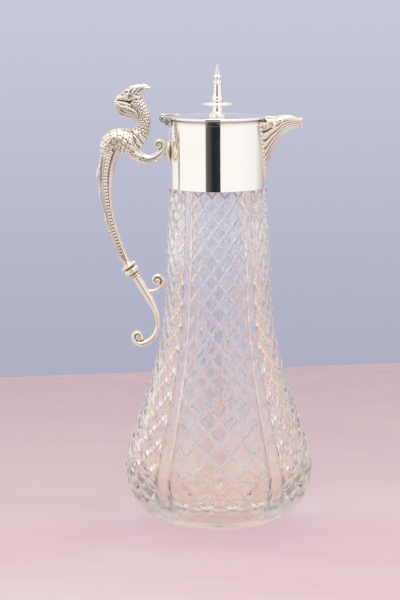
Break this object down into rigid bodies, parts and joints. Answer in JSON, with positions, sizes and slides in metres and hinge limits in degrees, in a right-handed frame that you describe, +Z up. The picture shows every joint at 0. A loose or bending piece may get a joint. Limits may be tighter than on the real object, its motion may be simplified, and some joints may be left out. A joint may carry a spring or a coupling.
{
  "type": "claret jug",
  "caption": "Tall cut-glass jug with a flaring base, silver-plated collar, hinged flat lid with a turned finial, fluted beak spout and cast griffin handle.",
  "frame": {"origin": "centre of the flat base, on the axis of the glass", "axes": "+Z up along the glass, +X towards the spout, -X towards the handle, Y across"},
  "size_m": [0.1419, 0.126, 0.3008],
  "materials": {
    "cut_glass": "polished",
    "plaster": "matte",
    "polished_silver": "polished",
    "cast_silver": "satin",
    "plated_brass": "satin"
  },
  "bodies": {
    "jug": {"glass_body": "cut_glass", "neck_plaster": "plaster", "collar_sleeve": "polished_silver", "collar_rim": "polished_silver", "spout_shell": "cast_silver", "spout_lip": "cast_silver", "spout_border": "cast_silver", "hinge_bracket": "cast_silver", "handle_bracket": "cast_silver", "handle_arm": "cast_silver", "griffin_body": "cast_silver", "griffin_neck": "cast_silver", "griffin_head": "cast_silver", "griffin_ears": "cast_silver", "griffin_mane": "cast_silver", "wing_leaf": "cast_silver", "handle_shaft": "cast_silver", "handle_beading": "cast_silver", "outer_rail": "cast_silver", "handle_ferrule": "cast_silver", "tail_scroll": "cast_silver", "tail_branch": "cast_silver", "hinge_pin": "plated_brass"},
    "lid": {"lid_plate": "polished_silver", "lid_bezel": "polished_silver", "lid_hinge_leaf": "cast_silver", "finial_ring": "polished_silver", "finial_foot": "polished_silver", "finial_disc": "polished_silver", "finial_spire": "polished_silver", "finial_stud": "plated_brass", "finial_washer": "polished_silver", "finial_nut": "plated_brass"}
  },
  "joints": [
    {"name": "lid_hinge", "type": "hinge", "parent": "jug", "child": "lid", "pos_m": [-0.0356, 0, 0.267], "axis": [0, -1, 0], "range_deg": [0, 95]}
  ]
}
